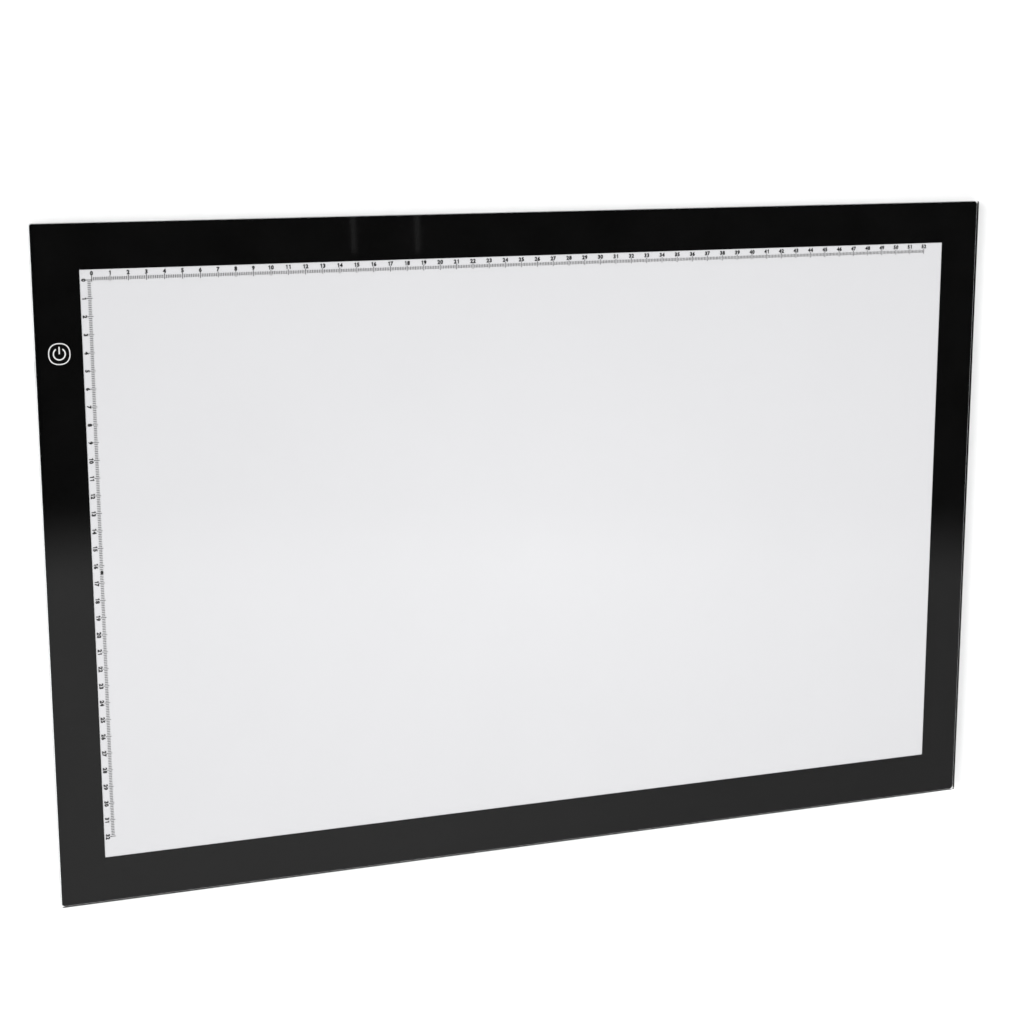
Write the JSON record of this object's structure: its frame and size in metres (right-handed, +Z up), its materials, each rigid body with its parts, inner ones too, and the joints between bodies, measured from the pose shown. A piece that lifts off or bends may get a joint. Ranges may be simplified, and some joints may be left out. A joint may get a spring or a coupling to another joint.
{
  "type": "light box",
  "caption": "Flat edge-lit light box for tracing: black-bordered clear face sheet over a white window, with scales, a touch key, an edge power inlet and rubber feet.",
  "frame": {"origin": "on the floor under the middle of the pad, which lies face up on its feet", "axes": "+X to the right along the long side, +Y to the rear edge with the horizontal scale, +Z up out of the face"},
  "size_m": [0.59, 0.39, 0.0095],
  "materials": {
    "clear_acrylic": "polished",
    "black_ink": "printed under a glossy sheet",
    "white_ink": "printed under a glossy sheet",
    "frame_plastic": "satin",
    "tape": "matte",
    "back_plastic": "fine leather-grain texture",
    "diffuser_film": "matte",
    "guide_acrylic": "polished",
    "reflector_film": "satin",
    "lamp_board_white": "solder mask",
    "lamp_package": "satin",
    "board_green": "solder mask",
    "copper": "plain",
    "contact_gold": "plated",
    "chip_black": "moulded",
    "capacitor_tan": "plain",
    "shell_steel": "plated",
    "screw_steel": "plated",
    "lead_red": "insulation",
    "lead_black": "insulation",
    "foot_rubber": "matte"
  },
  "bodies": {
    "root": {"face_sheet": "clear_acrylic", "border_print": "black_ink", "power_symbol": "white_ink", "face_tape": "tape", "rear_rail": "frame_plastic", "front_rail": "frame_plastic", "right_rail": "frame_plastic", "left_rail_rear": "frame_plastic", "left_rail_front": "frame_plastic", "back_tape": "tape", "back_cover": "back_plastic", "diffuser": "diffuser_film", "light_guide": "guide_acrylic", "reflector": "reflector_film", "guide_tape_left": "reflector_film", "guide_tape_right": "reflector_film", "guide_stop_rear": "frame_plastic", "guide_stop_front": "frame_plastic", "lamp_board_rear": "lamp_board_white", "lamp_board_front": "lamp_board_white", "lamps_rear": "lamp_package", "lamps_front": "lamp_package", "control_board": "board_green", "touch_foil": "copper", "touch_spring": "contact_gold", "touch_chip": "chip_black", "dimmer_transistor": "chip_black", "capacitors": "capacitor_tan", "resistors": "chip_black", "inlet_shell": "shell_steel", "inlet_tongue": "chip_black", "inlet_contacts": "contact_gold", "rear_lead_red": "lead_red", "rear_lead_black": "lead_black", "front_lead_red": "lead_red", "front_lead_black": "lead_black", "back_screws": "screw_steel", "foot_rear_left": "foot_rubber", "foot_rear_middle": "foot_rubber", "foot_rear_right": "foot_rubber", "foot_front_left": "foot_rubber", "foot_front_middle": "foot_rubber", "foot_front_right": "foot_rubber"}
  },
  "joints": []
}
